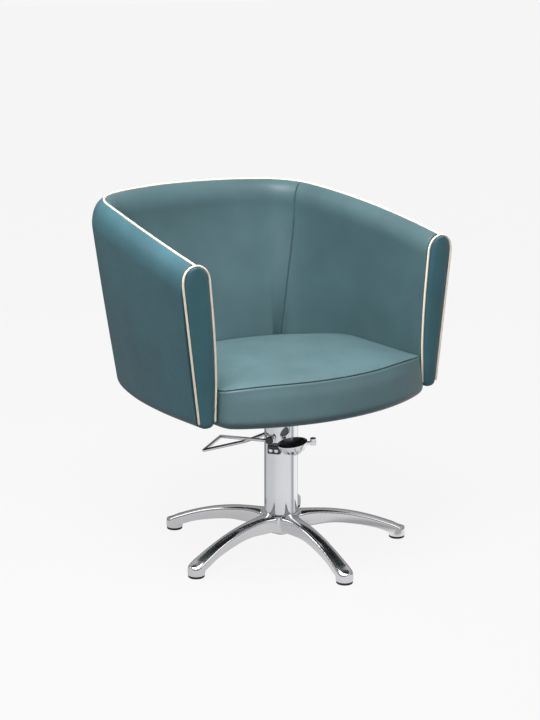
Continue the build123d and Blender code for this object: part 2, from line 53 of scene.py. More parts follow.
# ---------------------------------------------------------------- shape of the tub
CREST_X = 307.7            # crest of the wall at the arm front
CREST_Y = -136.5
SIDE_LENGTH = 393.0
SIDE_R = 2000.0
CORNER_R = 126.0
CORNER_TURN = 55.5
SIDE_HEADING = 0.2
BACK_Y = 384.5
CREST_Z = 673.0
PIPING_R = 2.55
TUB_BASE_Z = 342.0
ROLL_R = 20.0
SHELL_THICK = 26.0
PAD_BASE_Z = 347.0
PAD_FOOT_Z = 400.0
INNER_SEAM = 424.0         # side pad meets back pad, along the crest
OUTER_SEAM = 486.0         # back corner seam of the outer cover
ARM_FACE_Y = -151.0
ARM_BASE_Z = 343.0
SHELL_WIDE = 27.0          # outer face stands this far outside the crest
SHELL_DROP = 52.0
PAD_WIDE = -30.5
PAD_DROP = 48.0

BACK_TURN = 90 - SIDE_HEADING - math.degrees(SIDE_LENGTH / SIDE_R) - CORNER_TURN

# fraction of a half crest: outer and inner offset of the wall at its foot
FOOT_AT = (0.00, 0.20, 0.37, 0.50, 0.64, 0.80, 1.00)
FOOT_OUTER = (-3, 4, 3, -6, -25, -17, -6)
FOOT_INNER = (-43, -37.5, -35, -57, -106, -119, -121)

# ---------------------------------------------------------------- seat
SEAT_FRONT_Y = -247.0
SEAT_SIDE_Y = -168.0
SEAT_SIDE_X = 259.0
SEAT_BASE_Z = 338.0
SEAM_FRONT_Z = 423.0
SEAM_SIDE_Z = 413.0
SEAM_BACK_Z = 393.0
SEAT_CROWN_Z = 433.0
SEAT_POINTS = 220          # points round the seat
BACK_PRESS = 4.5           # the seat's back is pressed this far into the pads

# ---------------------------------------------------------------- rows of the closed sections
SHELL_VISIBLE = slice(1, 48)
PAD_VISIBLE = slice(1, 41)
PAD_END_ROWS = 5           # sections at each end of a pad that the cloth simulation holds
SEAM_GROOVE = 1.7          # depth of the groove where two pads meet

# ---------------------------------------------------------------- studio, in metres
FLOOR_HALF = 30.0
FLOOR_Z = -0.0004
FLOOR_GLOW = 0.900         # what the camera sees of the floor, nearly without shadow
FLOOR_SHADE = 0.028        # share of the floor that the camera sees as lit paint
FLOOR_BOUNCE = 0.20        # grey of the floor for light that bounces off it
BACKDROP_GLOW = 0.930      # what the camera sees behind the floor
WORLD_LOW = 0.11           # light from the world, below and above
WORLD_HIGH = 0.58
LENS = 84.5
CAMERA_PLACE = (-2.030, -2.811, 1.265)
CAMERA_AIM = (0.563, 0.791, -0.2387)

# The floor as shiny surfaces see it, and only they: direction round the column in degrees, grey.
# The greys were chosen by comparing the chrome column with the photo.
PANELS = ((-180, 0.58), (-150, 0.66), (-110, 0.70), (-62, 0.72), (-48, 0.40), (-38, 0.38), (-28, 0.86),
          (10, 0.92), (30, 0.55), (62, 0.14), (95, 0.20), (120, 0.55), (180, 0.58))


# ---------------------------------------------------------------- curve helpers
def crest(distance):
    """Plan point and heading (radians) along the right half of the crest."""
    x, y, heading = CREST_X, CREST_Y, math.radians(SIDE_HEADING)
    for radius, turn in ((SIDE_R, SIDE_LENGTH / SIDE_R), (CORNER_R, math.radians(CORNER_TURN)),
                         (None, math.radians(BACK_TURN))):
        if radius is None:
            radius = x / math.sin(turn)
        step = min(max(distance, 0), turn * radius) / radius
        x -= radius * (math.cos(heading) - math.cos(heading + step))
        y += radius * (math.sin(heading + step) - math.sin(heading))
        heading += step
        distance -= turn * radius
        if distance <= 0:
            break
    return x, y, heading


def half_length():
    """Length of half of the crest."""
    x = crest(SIDE_LENGTH + CORNER_R * math.radians(CORNER_TURN))[0]
    back = x / math.sin(math.radians(BACK_TURN)) * math.radians(BACK_TURN)
    return SIDE_LENGTH + CORNER_R * math.radians(CORNER_TURN) + back


HALF = half_length()


def smooth_rows(at, values, t):
    """Smooth cubic value through the rows (at, values), level at the last row."""
    i = min(max(int(np.searchsorted(at, t)) - 1, 0), len(at) - 2)
    slopes = np.gradient(np.array(values, float), np.array(at, float))
    slopes[0] = slopes[0] * 0.5
    slopes[-1] = 0.0
    h = at[i + 1] - at[i]
    u = min(max((t - at[i]) / h, 0), 1)
    a = (1 + 2 * u) * (1 - u) ** 2 * values[i]
    b = u * (1 - u) ** 2 * h * slopes[i]
    c = u * u * (3 - 2 * u) * values[i + 1]
    d = u * u * (u - 1) * h * slopes[i + 1]
    return a + b + c + d


def station(distance):
    """Crest point, outward normal, crest height and foot offsets at a place on the crest."""
    mirrored = distance > HALF
    along = 2 * HALF - distance if mirrored else distance
    x, y, heading = crest(along)
    nx, ny = math.cos(heading), math.sin(heading)
    if mirrored:
        x, nx = -x, -nx
    s = (y - CREST_Y) / (BACK_Y - CREST_Y)
    top = CREST_Z + 107 * s - 18.5 * s ** 2 - 14 * s ** 3
    t = along / HALF
    return (x, y), (nx, ny), top, smooth_rows(FOOT_AT, FOOT_OUTER, t), smooth_rows(FOOT_AT, FOOT_INNER, t)


def bezier(points, count):
    """Points on a Bezier curve of any degree, without the last one."""
    t = np.linspace(0, 1, count, endpoint=False)[:, None]
    degree = len(points) - 1
    out = np.zeros((count, len(points[0])))
    for i, point in enumerate(points):
        out += math.comb(degree, i) * t ** i * (1 - t) ** (degree - i) * np.array(point, float)
    return out


def line(a, b, count, belly=0.0, side=(0, 0)):
    """Points from a to b, without b, bowed by belly along side."""
    t = np.linspace(0, 1, count, endpoint=False)[:, None]
    out = np.array(a, float) * (1 - t) + np.array(b, float) * t
    return out + belly * np.sin(np.pi * t) * np.array(side, float)


def eased_places(start, end, step, seams=(), fine=2.0, reach=8.0):
    """Places from start to end about step apart, with extra ones beside each seam and each end."""
    places = set(np.linspace(start, end, max(2, int(round((end - start) / step)) + 1)).round(3))
    for seam in list(seams) + [start, end]:
        for offset in np.arange(-reach, reach + 0.01, fine):
            if start <= seam + offset <= end:
                places.add(round(seam + offset, 3))
    ordered = sorted(places)
    kept = [ordered[0]]
    for place in ordered[1:]:
        if place - kept[-1] >= fine * 0.6:
            kept.append(place)
    kept[-1] = ordered[-1]
    return kept


# ---------------------------------------------------------------- mesh helpers
def make_mesh(name, verts, faces):
    """Object from millimetre points and faces, smooth shaded."""
    mesh = bpy.data.meshes.new(name)
    mesh.from_pydata([tuple(np.array(v) * MM) for v in verts], [], faces)
    mesh.update()
    mesh.polygons.foreach_set("use_smooth", [True] * len(mesh.polygons))
    piece = bpy.data.objects.new(name, mesh)
    bpy.context.scene.collection.objects.link(piece)
    return piece


def outward(piece):
    """Joins doubled points and makes every face of a closed piece look outwards."""
    work = bmesh.new()
    work.from_mesh(piece.data)
    bmesh.ops.remove_doubles(work, verts=work.verts, dist=0.00005)
    bmesh.ops.recalc_face_normals(work, faces=work.faces)
    work.to_mesh(piece.data)
    work.free()
    piece.data.polygons.foreach_set("use_smooth", [True] * len(piece.data.polygons))
    return piece


def tube_of_loops(name, loops):
    """Closed piece: closed loops in a row, with a fan cap at both ends."""
    count = len(loops[0])
    verts = [p for loop in loops for p in loop]
    faces = []
    for i in range(len(loops) - 1):
        for k in range(count):
            n = (k + 1) % count
            faces.append((i * count + k, i * count + n, (i + 1) * count + n, (i + 1) * count + k))
    for i in (0, len(loops) - 1):
        centre = len(verts)
        verts.append(np.mean(loops[i], axis=0))
        for k in range(count):
            faces.append((i * count + k, i * count + (k + 1) % count, centre))
    return outward(make_mesh(name, verts, faces))


def lift(place, profile):
    """Section points (outward, up) at a place on the crest, as points in space."""
    (x, y), (nx, ny) = station(place)[:2]
    return [(x + nx * n, y + ny * n, z) for n, z in profile]


def subdivide(piece, levels=1):
    """Adds and applies smooth subdivision."""
    modifier = piece.modifiers.new("smooth", "SUBSURF")
    modifier.levels = levels
    modifier.render_levels = levels
    bake_modifiers(piece)


def bake_modifiers(piece):
    """Replaces a piece's mesh by what its modifiers make of it."""
    bpy.context.view_layer.update()
    graph = bpy.context.evaluated_depsgraph_get()
    mesh = bpy.data.meshes.new_from_object(piece.evaluated_get(graph))
    piece.modifiers.clear()
    piece.data = mesh
    mesh.polygons.foreach_set("use_smooth", [True] * len(mesh.polygons))


def coords(piece):
    """Vertex positions as an array, in metres."""
    out = np.zeros(len(piece.data.vertices) * 3)
    piece.data.vertices.foreach_get("co", out)
    return out.reshape(-1, 3)


def set_coords(piece, values):
    """Writes vertex positions back."""
    piece.data.vertices.foreach_set("co", np.asarray(values, float).ravel())
    piece.data.update()


def relaxed(piece, move, pinned, turns):
    """Evens a displacement out over the cover, so that it stays taut; the seams keep still."""
    edges = np.zeros(len(piece.data.edges) * 2, int)
    piece.data.edges.foreach_get("vertices", edges)
    a, b = edges.reshape(-1, 2).T
    degree = np.bincount(np.r_[a, b], minlength=len(move))[:, None].clip(1)
    move[pinned] = 0
    for _ in range(turns):
        total = np.zeros_like(move)
        np.add.at(total, a, move[b])
        np.add.at(total, b, move[a])
        move = 0.4 * move + 0.6 * total / degree
        move[pinned] = 0
    return move


def inflate(piece, pinned, pressure, cap, frames=18):
    """Cloth simulation: the cover swells between its pinned seams, by at most cap millimetres.

    The swelling is then evened out, which also takes out wrinkles.
    """
    before = coords(piece)
    group = piece.vertex_groups.new(name="seams")
    group.add([int(i) for i in pinned], 1.0, "REPLACE")
    cloth = piece.modifiers.new("cover", "CLOTH")
    settings = cloth.settings
    settings.quality = 5
    settings.mass = 0.4
    settings.tension_stiffness = 18
    settings.compression_stiffness = 18
    settings.shear_stiffness = 8
    settings.bending_stiffness = 2.5
    settings.use_pressure = True
    settings.uniform_pressure_force = pressure
    settings.vertex_group_mass = "seams"
    settings.effector_weights.gravity = 0
    cloth.collision_settings.use_collision = False
    cloth.point_cache.frame_start = 1
    cloth.point_cache.frame_end = frames
    scene = bpy.context.scene
    for number in range(1, frames + 1):
        scene.frame_set(number)
    graph = bpy.context.evaluated_depsgraph_get()
    shape = piece.evaluated_get(graph).to_mesh()
    after = np.zeros(len(shape.vertices) * 3)
    shape.vertices.foreach_get("co", after)
    move = after.reshape(-1, 3) - before
    size = np.linalg.norm(move, axis=1, keepdims=True)
    limit = cap * MM
    soft = limit * np.tanh(size / limit)
    move = move / np.maximum(size, 1e-9) * soft
    move = relaxed(piece, move, pinned, 40)
    piece.modifiers.clear()
    piece.vertex_groups.clear()
    set_coords(piece, before + move)
    scene.frame_set(1)


def finish_piece(piece, body, material, nodes=()):
    """Material, body and stand-in of one new piece."""
    piece.data.materials.clear()
    piece.data.materials.append(material)
    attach(piece, body)
    if nodes:
        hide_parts(*nodes)
    return piece


# ---------------------------------------------------------------- node helpers
def new_material(name):
    """Empty node material with its Principled shader."""
    material = bpy.data.materials.new(name)
    material.use_nodes = True
    tree = material.node_tree
    tree.nodes.clear()
    out = tree.nodes.new("ShaderNodeOutputMaterial")
    shader = tree.nodes.new("ShaderNodeBsdfPrincipled")
    tree.links.new(shader.outputs["BSDF"], out.inputs["Surface"])
    return material, tree, shader


def add(tree, kind, inputs=(), **settings):
    """A node with its settings; inputs are (socket, value or output socket)."""
    node = tree.nodes.new(kind)
    for key, value in settings.items():
        setattr(node, key, value)
    for socket, value in inputs:
        if isinstance(value, bpy.types.NodeSocket):
            tree.links.new(value, node.inputs[socket])
        else:
            node.inputs[socket].default_value = value
    return node


def object_coords(tree, stretch=(1, 1, 1)):
    """Coordinates fixed to the piece, optionally stretched."""
    where = add(tree, "ShaderNodeTexCoord")
    mapping = add(tree, "ShaderNodeMapping", [("Vector", where.outputs["Object"]), ("Scale", stretch)])
    return mapping.outputs["Vector"]


def noise(tree, vector, scale, detail=3.0, rough=0.55):
    """Noise texture value."""
    node = add(tree, "ShaderNodeTexNoise",
               [("Vector", vector), ("Scale", scale), ("Detail", detail), ("Roughness", rough)])
    return node.outputs["Fac"]


def span(tree, value, low, high, start=0.0, end=1.0):
    """Maps a value from start..end to low..high."""
    node = add(tree, "ShaderNodeMapRange",
               [("Value", value), ("From Min", start), ("From Max", end), ("To Min", low), ("To Max", high)])
    return node.outputs["Result"]


def blend_colours(tree, factor, a, b):
    """Mix of two colours by a factor."""
    node = add(tree, "ShaderNodeMix", data_type="RGBA")
    tree.links.new(factor, node.inputs["Factor"])
    for socket, value in ((6, a), (7, b)):
        if isinstance(value, bpy.types.NodeSocket):
            tree.links.new(value, node.inputs[socket])
        else:
            node.inputs[socket].default_value = (*value, 1)
    return node.outputs[2]


def bump(tree, height, distance, strength=1.0, under=None):
    """Bump node; under is the normal it builds on."""
    node = add(tree, "ShaderNodeBump", [("Height", height), ("Distance", distance), ("Strength", strength)])
    if under is not None:
        tree.links.new(under, node.inputs["Normal"])
    return node.outputs["Normal"]


# ---------------------------------------------------------------- materials
def vinyl(name, colour, rough=0.43, grain_strength=0.35):
    """Upholstery vinyl: pebbled grain with painted shade in its creases, pores, mottled colour and uneven
    gloss.
    """
    material, tree, shader = new_material(name)
    where = object_coords(tree)
    drift = noise(tree, where, 7.0, 2.0)
    mottle = noise(tree, where, 140.0, 4.0)
    dark = tuple(c * 0.88 for c in colour)
    light = tuple(min(1, c * 1.10) for c in colour)
    base = blend_colours(tree, span(tree, drift, 0, 1, 0.3, 0.7), dark, light)
    cells = add(tree, "ShaderNodeTexVoronoi", [("Vector", where), ("Scale", 900.0)],
                feature="DISTANCE_TO_EDGE")
    creases = span(tree, cells.outputs["Distance"], 0, 1, 0.0, 0.22)
    # painted shade: the base colour is darkened by up to a tenth in the creases between the grain's pebbles
    crease_shade = span(tree, creases, 0.90, 1.0)
    tone = add(tree, "ShaderNodeMix", [("Factor", 1.0), (6, base)], data_type="RGBA", blend_type="MULTIPLY")
    shade = add(tree, "ShaderNodeCombineColor", [(0, crease_shade), (1, crease_shade), (2, crease_shade)])
    tree.links.new(shade.outputs["Color"], tone.inputs[7])
    tree.links.new(tone.outputs[2], shader.inputs["Base Color"])
    tree.links.new(span(tree, mottle, rough - 0.07, rough + 0.07, 0.25, 0.75), shader.inputs["Roughness"])
    pebble = bump(tree, creases, 0.00012, grain_strength)
    soft = bump(tree, mottle, 0.0006, 0.10, pebble)
    wave = bump(tree, noise(tree, where, 22.0, 2.0), 0.004, 0.05, soft)
    tree.links.new(wave, shader.inputs["Normal"])
    shader.inputs["Specular IOR Level"].default_value = 0.24
    shader.inputs["Coat Weight"].default_value = 0.04
    shader.inputs["Coat Roughness"].default_value = 0.32
    return material


def metal(name, colour, low, high, brushed=None, scratch=0.06):
    """Polished metal: smudged gloss, hairline scratches and, if brushed, a drawn grain."""
    material, tree, shader = new_material(name)
    where = object_coords(tree, brushed or (1, 1, 1))
    smudge = noise(tree, object_coords(tree), 14.0, 5.0, 0.6)
    fine = noise(tree, where, 260.0, 3.0, 0.7)
    wear = add(tree, "ShaderNodeMath", [(0, smudge), (1, fine)], operation="MULTIPLY")
    tree.links.new(span(tree, wear.outputs[0], low, high, 0.10, 0.42), shader.inputs["Roughness"])
    tint = blend_colours(tree, span(tree, smudge, 0, 1, 0.3, 0.7), tuple(c * 0.95 for c in colour), colour)
    tree.links.new(tint, shader.inputs["Base Color"])
    tree.links.new(bump(tree, fine, 0.00004, scratch), shader.inputs["Normal"])
    shader.inputs["Metallic"].default_value = 1.0
    return material


def polished_casting(name, colour):
    """Hand-polished casting: slow unevenness of gloss and surface, a few fine hairlines."""
    material, tree, shader = new_material(name)
    where = object_coords(tree)
    slow = noise(tree, where, 9.0, 2.0)
    hair = noise(tree, object_coords(tree, (1, 1, 6)), 120.0, 4.0, 0.7)
    tree.links.new(span(tree, slow, 0.11, 0.21, 0.3, 0.7), shader.inputs["Roughness"])
    tint = blend_colours(tree, span(tree, hair, 0, 1, 0.35, 0.75), tuple(c * 0.94 for c in colour), colour)
    tree.links.new(tint, shader.inputs["Base Color"])
    tree.links.new(bump(tree, slow, 0.003, 0.10), shader.inputs["Normal"])
    shader.inputs["Metallic"].default_value = 1.0
    return material


def moulded(name, colour, low, high, grain=500.0, depth=0.00008, coat=0.0):
    """Moulded rubber or plastic with a fine texture and uneven gloss."""
    material, tree, shader = new_material(name)
    where = object_coords(tree)
    speck = noise(tree, where, grain, 4.0)
    patch = noise(tree, where, 30.0, 3.0)
    tree.links.new(span(tree, patch, low, high, 0.3, 0.7), shader.inputs["Roughness"])
    tint = blend_colours(tree, patch, tuple(c * 0.8 for c in colour), tuple(min(1, c * 1.2) for c in colour))
    tree.links.new(tint, shader.inputs["Base Color"])
    tree.links.new(bump(tree, speck, depth, 0.4), shader.inputs["Normal"])
    shader.inputs["Coat Weight"].default_value = coat
    return material


def piping_vinyl():
    """Cream piping vinyl with a fine crosswise wrinkle."""
    material, tree, shader = new_material("piping_cream")
    where = object_coords(tree)
    drift = noise(tree, where, 40.0, 3.0)
    base = blend_colours(tree, drift, (0.76, 0.65, 0.50), (0.87, 0.79, 0.67))
    tree.links.new(base, shader.inputs["Base Color"])
    tree.links.new(span(tree, drift, 0.42, 0.58), shader.inputs["Roughness"])
    tree.links.new(bump(tree, noise(tree, where, 700.0, 2.0), 0.0002, 0.3), shader.inputs["Normal"])
    return material


def plywood():
    """Birch ply: long grain and darker glue lines."""
    material, tree, shader = new_material("birch_ply")
    where = object_coords(tree, (6, 60, 60))
    grain = noise(tree, where, 3.0, 6.0, 0.65)
    plies = add(tree, "ShaderNodeTexWave",
                [("Vector", object_coords(tree)), ("Scale", 105.0), ("Distortion", 0.3)],
                bands_direction="Z")
    base = blend_colours(tree, grain, (0.50, 0.34, 0.19), (0.72, 0.56, 0.36))
    edge = blend_colours(tree, span(tree, plies.outputs["Fac"], 0, 0.35, 0.6, 1.0), base, (0.33, 0.21, 0.12))
    tree.links.new(edge, shader.inputs["Base Color"])
    tree.links.new(span(tree, grain, 0.5, 0.7), shader.inputs["Roughness"])
    tree.links.new(bump(tree, grain, 0.0003, 0.3), shader.inputs["Normal"])
    return material


def black_cloth():
    """Non-woven dust-cover cloth: random fibres."""
    material, tree, shader = new_material("dust_cloth")
    where = object_coords(tree, (1, 3, 1))
    fibre = noise(tree, where, 900.0, 6.0, 0.7)
    tree.links.new(blend_colours(tree, fibre, (0.010, 0.010, 0.010), (0.045, 0.045, 0.045)),
                   shader.inputs["Base Color"])
    tree.links.new(span(tree, fibre, 0.8, 0.95), shader.inputs["Roughness"])
    tree.links.new(bump(tree, fibre, 0.0004, 0.6), shader.inputs["Normal"])
    return material


# Painted light: the chair has one teal vinyl; the seat's copy is painted lighter and greyer for the light
# from above on it, the inner pads' copy darker than the seat's for the shade inside the tub
TEAL = (0.047, 0.128, 0.156)
MATERIALS = {
    "seat_vinyl": vinyl("vinyl_seat_painted_light", (0.094, 0.162, 0.178)),
    "inner_vinyl": vinyl("vinyl_inner_painted_shade", (0.066, 0.124, 0.138)),
    "shell_vinyl": vinyl("vinyl_shell", TEAL),
    "cream_piping": piping_vinyl(),
    "polished_aluminium": polished_casting("aluminium_polished", (0.86, 0.86, 0.88)),
    "column_chrome": metal("chrome_column", (0.86, 0.87, 0.90), 0.03, 0.09, (1, 1, 0.03)),
    "lever_chrome": metal("chrome_lever", (0.84, 0.85, 0.88), 0.04, 0.12),
    "zinc_steel": metal("steel_zinc", (0.58, 0.59, 0.60), 0.25, 0.45, (1, 1, 0.05), 0.3),
    "black_steel": moulded("steel_black", (0.022, 0.022, 0.024), 0.35, 0.5, 350.0),
    "bronze": metal("bush_bronze", (0.62, 0.42, 0.20), 0.2, 0.35),
    "black_rubber": moulded("rubber_black", (0.020, 0.020, 0.021), 0.5, 0.7, 420.0, 0.00015),
    "black_gloss": moulded("plastic_gloss", (0.010, 0.010, 0.012), 0.06, 0.14, 90.0, 0.00002, 0.6),
    "plywood": plywood(),
    "black_cloth": black_cloth(),
}


# ---------------------------------------------------------------- upholstery: outer shell
def shell_profile(place):
    """Closed section of the outer cover at a place on the crest."""
    top, outer = station(place)[2:4]
    seam = (1.0, top - 1.2)
    wide = (SHELL_WIDE, top - SHELL_DROP)
    low = (outer, TUB_BASE_Z + ROLL_R)
    under = (outer - ROLL_R, TUB_BASE_Z)
    back = (outer - SHELL_THICK, TUB_BASE_Z + 1)
    rim = [seam, (4, top - 2.2), (SHELL_WIDE * 0.72, top - 3.5), (SHELL_WIDE - 0.5, top - 27), wide]
    roll = [low, (outer - 0.8, TUB_BASE_Z + ROLL_R * 0.42), (outer - ROLL_R * 0.5, TUB_BASE_Z), under]
    return np.vstack([
        bezier(rim, 14),
        line(wide, low, 26, 2.2, (1, 0)),
        bezier(roll, 8),
        line(under, back, 2),
        line(back, (1.0, top - 40), 12),
        line((1.0, top - 40), seam, 4),
    ])


def outer_shell():
    """Outer cover: rolled rim, leaning sides, two back corner seams, rolled foot."""
    seams = (OUTER_SEAM, 2 * HALF - OUTER_SEAM)
    places = eased_places(0, 2 * HALF, 13.0, seams, 1.6, 6.4)
    loops = []
    for place in places:
        profile = shell_profile(place)
        for seam in seams:
            near = math.exp(-((place - seam) / 1.9) ** 2)
            wide = math.exp(-((place - seam) / 16) ** 2)
            profile[SHELL_VISIBLE, 0] -= 1.5 * near - 0.5 * wide
        loops.append(lift(place, profile))
    shell = tube_of_loops("outer_cover", loops)
    subdivide(shell)
    return shell


# ---------------------------------------------------------------- upholstery: inner pads
def pad_profile(place):
    """Closed section of an inner pad at a place on the crest."""
    top, outer, inner = station(place)[2:]
    seam = (-1.0, top - 1.2)
    wide = (PAD_WIDE, top - PAD_DROP)
    foot = (inner, PAD_FOOT_Z)
    low = (inner + 1, PAD_BASE_Z)
    rear_foot = max(min(outer - SHELL_THICK - 13, inner + 40), inner + 6)
    rear_top = (-9.0, top - 46)
    rim = [seam, (-4, top - 2.2), (PAD_WIDE * 0.72, top - 3.5), (PAD_WIDE + 0.5, top - 25), wide]
    face = [wide, (PAD_WIDE - 0.5, top - PAD_DROP - 62),
            (PAD_WIDE * 0.62 + inner * 0.38, top - PAD_DROP - 128), foot]
    return np.vstack([
        bezier(rim, 14),
        bezier(face, 26),
        line(foot, low, 6),
        line(low, (rear_foot, PAD_BASE_Z), 4),
        line((rear_foot, PAD_BASE_Z), rear_top, 12),
        line(rear_top, seam, 6),
    ])


def inner_pad(name, start, end, cap):
    """One inner pad between two places on the crest, swollen between its seams."""
    places = eased_places(start, end, 13.0, (), 1.5, 6.0)
    loops = []
    for place in places:
        profile = pad_profile(place)
        profile[PAD_VISIBLE, 0] += SEAM_GROOVE * math.exp(-((place - start) / 2.2) ** 2)
        profile[PAD_VISIBLE, 0] += SEAM_GROOVE * math.exp(-((end - place) / 2.2) ** 2)
        loops.append(lift(place, profile))
    count = len(loops[0])
    pad = tube_of_loops(name, loops)
    points = coords(pad) / MM
    flat = np.array([p for loop in loops for p in loop])
    free = set()
    for i in range(PAD_END_ROWS, len(places) - PAD_END_ROWS):
        for k in range(PAD_VISIBLE.start + 1, PAD_VISIBLE.stop):
            free.add(i * count + k)
    free_points = flat[sorted(free)]
    keys = {tuple(np.round(p, 2)) for p in free_points}
    pinned = [i for i, p in enumerate(points) if tuple(np.round(p, 2)) not in keys]
    inflate(pad, pinned, 2.2, cap)
    subdivide(pad)
    return pad


# ---------------------------------------------------------------- upholstery: seat
def seat_outline(count):
    """Closed plan of the seat, evenly spaced, starting at the middle of the front."""
    side = []
    for place in np.linspace(96, HALF, 60):
        (x, y), (nx, ny), _, _, inner = station(place)
        depth = inner - 0.8
        side.append((min(x + nx * depth, SEAT_SIDE_X), y + ny * depth))
    depth = SEAT_SIDE_Y - SEAT_FRONT_Y
    radius = (SEAT_SIDE_X ** 2 + depth ** 2) / (2 * depth)
    front = []
    for a in np.linspace(0, math.asin(SEAT_SIDE_X / radius), 40):
        front.append((radius * math.sin(a), SEAT_FRONT_Y + radius * (1 - math.cos(a))))
    right = np.array(front[:-1] + [(SEAT_SIDE_X, SEAT_SIDE_Y)] + side)
    ring = np.vstack([right, (right[1:-1] * (-1, 1))[::-1]])
    ring = even_ring(ring, count * 2)
    for step in range(110):
        blurred = 0.25 * np.roll(ring, 1, 0) + 0.5 * ring + 0.25 * np.roll(ring, -1, 0)
        share = np.clip((ring[:, 1:] + 60) / 120, 0.0, 1.0) if step > 40 else 1.0
        ring = ring + (blurred - ring) * share
    pressed = np.clip((ring[:, 1] + 60) / 120, 0.0, 1.0) * BACK_PRESS
    return even_ring(inset_ring(ring, -pressed), count)


def even_ring(ring, count):
    """Closed ring resampled at even spacing from its first point."""
    closed = np.vstack([ring, ring[:1]])
    steps = np.r_[0, np.cumsum(np.linalg.norm(np.diff(closed, axis=0), axis=1))]
    at = np.linspace(0, steps[-1], count, endpoint=False)
    return np.stack([np.interp(at, steps, closed[:, k]) for k in range(closed.shape[1])], 1)


def inset_ring(ring, amount):
    """Ring moved inwards along its own normals."""
    tangent = np.roll(ring, -1, 0) - np.roll(ring, 1, 0)
    tangent = tangent / np.linalg.norm(tangent, axis=1, keepdims=True)
    normal = np.stack([tangent[:, 1], -tangent[:, 0]], 1)
    return ring - normal * np.asarray(amount)[:, None]


def seat_cushion():
    """Seat cushion: crowned top, border with a belly, seam between them."""
    count = SEAT_POINTS
    ring = seat_outline(count)
    y = ring[:, 1]
    front = np.clip((-y - 120) / 110, 0, 1)
    front = front * front * (3 - 2 * front)
    back = np.clip((y - 60) / 190, 0, 1)
    back = back * back * (3 - 2 * back)
    seam_z = SEAM_SIDE_Z + (SEAM_FRONT_Z - SEAM_SIDE_Z) * front + (SEAM_BACK_Z - SEAM_SIDE_Z) * back
    lean = 3 + 15 * front
    floor_z = np.full(count, SEAT_BASE_Z)
    rings = []
    spine = np.array([0.0, 20.0])
    tops = list(1 - np.linspace(0, 1, 27) ** 1.35)
    soft = ring
    for _ in range(300):
        soft = 0.25 * np.roll(soft, 1, 0) + 0.5 * soft + 0.25 * np.roll(soft, -1, 0)
    for reach in tops:
        share = reach ** 3
        base = inset_ring(ring * share + soft * (1 - share), lean + 2.5)
        flat = spine + (base - spine) * max(reach, 0.004)
        dome = 1 - reach ** 2.2
        edge = 1.0 - math.exp(-(1 - reach) * 22)
        z = seam_z + 1.0 + (SEAT_CROWN_Z - seam_z - 5.0) * dome + 4.0 * edge
        rings.append(np.c_[flat, z])
    rings = rings[::-1]
    rows = (
        (1.0, 1.2, 0.0), (3.4, -0.2, 0.0), (3.6, -0.9, 0.0), (0.7, -2.2, 0.0), (-0.3, -4.6, 0.0),
        (-0.2, -9.0, 0.08), (0.0, -16, 0.25), (0.0, -25, 0.45),
    )
    for inward, down, fade in rows:
        edge = inset_ring(ring, lean * (1 - fade) + inward)
        rings.append(np.c_[edge, seam_z + down])
    seam_row = len(rings) - 6
    for share in (0.35, 0.5, 0.65, 0.8):
        z = (seam_z - 25) * (1 - share) + (floor_z + 16) * share
        edge = inset_ring(ring, lean * 0.55 * (1 - share))
        rings.append(np.c_[edge, z])
    for inward, up in ((0, 16), (1.2, 10), (4.2, 5), (9.0, 1.6), (15, 0.0), (26, 0.3), (44, 3.0)):
        edge = inset_ring(ring, np.full(count, float(inward)))
        rings.append(np.c_[edge, floor_z + up])
    shape = inset_ring(ring, np.full(count, 44.0))
    rings.append(np.c_[spine + (shape - spine) * 0.5, floor_z + 31.0])
    cushion = tube_of_loops("seat_cushion_cover", rings)
    points = coords(cushion) / MM
    held = np.vstack([rings[seam_row], rings[seam_row - 1]])
    low = points[:, 2] < SEAT_BASE_Z + 3
    pinned = []
    for i, p in enumerate(points):
        gap = np.min(np.sum((held - p) ** 2, axis=1))
        if gap < 1.0 or low[i]:
            pinned.append(i)
    inflate(cushion, pinned, 2.0, 7.0)
    subdivide(cushion)
    return cushion


# ---------------------------------------------------------------- upholstery: arm fronts
def arm_ring(inset, count):
    """Closed outline of an arm front in X and Z, evenly spaced."""
    foot_out = (303.5 - inset, ARM_BASE_Z + 13)
    wide_out = (336.2 - inset, 630)
    apex = (308.0, 669.5 - inset)
    wide_in = (275.9 + inset, 634)
    waist_in = (263.8 + inset, 430)
    foot_in = (266.5 + inset, ARM_BASE_Z + 13)
    low = (285.0, ARM_BASE_Z + inset * 0.5)
    ring = np.vstack([
        line(foot_out, wide_out, 40),
        bezier([wide_out, (wide_out[0] + 2.5, 656), (apex[0] + 17, apex[1]), apex], 24),
        bezier([apex, (apex[0] - 17, apex[1]), (wide_in[0] + 0.5, 656), wide_in], 24),
        bezier([wide_in, (wide_in[0] - 7, 560), (waist_in[0], 500), waist_in], 30),
        line(waist_in, foot_in, 14),
        bezier([foot_in, (foot_in[0] + 1, low[1] + 1), (low[0] - 9, low[1]), low], 10),
        bezier([low, (low[0] + 9, low[1]), (foot_out[0] - 1, low[1] + 1), foot_out], 10),
    ])
    return even_ring(ring, count)


def arm_edges(z):
    """Inner and outer edge of an arm front at a height."""
    ring = arm_ring(2.0, 600)
    low = int(np.argmin(ring[:, 1]))
    around = np.roll(ring, -low, axis=0)
    top = int(np.argmax(around[:, 1]))
    outer, inner = around[:top + 1], around[top:][::-1]
    return np.interp(z, inner[:, 1], inner[:, 0]), np.interp(z, outer[:, 1], outer[:, 0])


